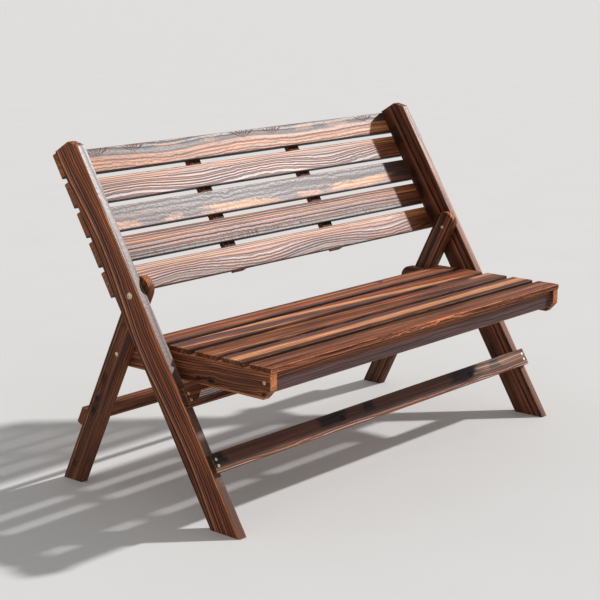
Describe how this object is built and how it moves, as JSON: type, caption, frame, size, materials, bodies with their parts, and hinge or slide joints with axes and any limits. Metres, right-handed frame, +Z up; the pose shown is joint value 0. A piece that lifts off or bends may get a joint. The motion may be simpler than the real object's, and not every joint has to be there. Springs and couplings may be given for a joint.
{
  "type": "folding garden bench",
  "caption": "Folding slatted wooden garden bench: leaning long legs carry the back, with hinged rear legs and a hinged seat that rests on a crossbar.",
  "frame": {"origin": "on the floor, at the middle of the bench's footprint box", "axes": "+X across the bench, towards the right end as seen from the front; +Y from the sitter's side towards the back; +Z up"},
  "size_m": [1.208, 0.6456, 0.8042],
  "materials": {
    "scorched_wood": "scorched softwood with a satin oil",
    "dowel_wood": "plain beech",
    "pivot_metal": "pale yellow zinc plating",
    "screw_metal": "dull yellow zinc plating"
  },
  "bodies": {
    "front_frame": {"long_leg_left": "scorched_wood", "long_leg_right": "scorched_wood", "back_slat_1": "scorched_wood", "back_slat_2": "scorched_wood", "back_slat_3": "scorched_wood", "back_slat_4": "scorched_wood", "back_slat_5": "scorched_wood", "back_batten_left": "scorched_wood", "back_batten_right": "scorched_wood", "front_stretcher": "scorched_wood", "seat_rest_crossbar": "scorched_wood", "leg_pivot_bolt_left": "pivot_metal", "leg_pivot_bolt_right": "pivot_metal", "leg_pivot_nut_left": "pivot_metal", "leg_pivot_nut_right": "pivot_metal", "back_slat_screws": "screw_metal", "back_batten_screws": "screw_metal", "front_stretcher_screws": "screw_metal", "seat_rest_screws": "screw_metal"},
    "rear_frame": {"rear_leg_left": "scorched_wood", "rear_leg_right": "scorched_wood", "rear_stretcher": "scorched_wood", "seat_pivot_bolt_left": "pivot_metal", "seat_pivot_bolt_right": "pivot_metal", "seat_pivot_nut_left": "pivot_metal", "seat_pivot_nut_right": "pivot_metal", "rear_stretcher_screws": "screw_metal"},
    "seat": {"seat_slat_1": "scorched_wood", "seat_slat_2": "scorched_wood", "seat_slat_3": "scorched_wood", "seat_slat_4": "scorched_wood", "seat_slat_5": "scorched_wood", "seat_rail_left": "scorched_wood", "seat_rail_right": "scorched_wood", "seat_apron": "scorched_wood", "seat_batten_left": "scorched_wood", "seat_batten_right": "scorched_wood", "apron_screws": "screw_metal", "seat_batten_screws": "screw_metal", "seat_dowels": "dowel_wood"}
  },
  "joints": [
    {"name": "rear_leg_fold", "type": "hinge", "parent": "front_frame", "child": "rear_frame", "pos_m": [0, 0.05258, 0.48135], "axis": [-1, 0, 0], "range_deg": [0, 57.6]},
    {"name": "seat_fold", "type": "hinge", "parent": "rear_frame", "child": "seat", "pos_m": [0, 0.12622, 0.333], "axis": [-1, 0, 0], "range_deg": [0, 63.6]}
  ],
  "couplings": [
    {"joint": "seat_fold", "follows": "rear_leg_fold", "ratio": 1.1042}
  ]
}
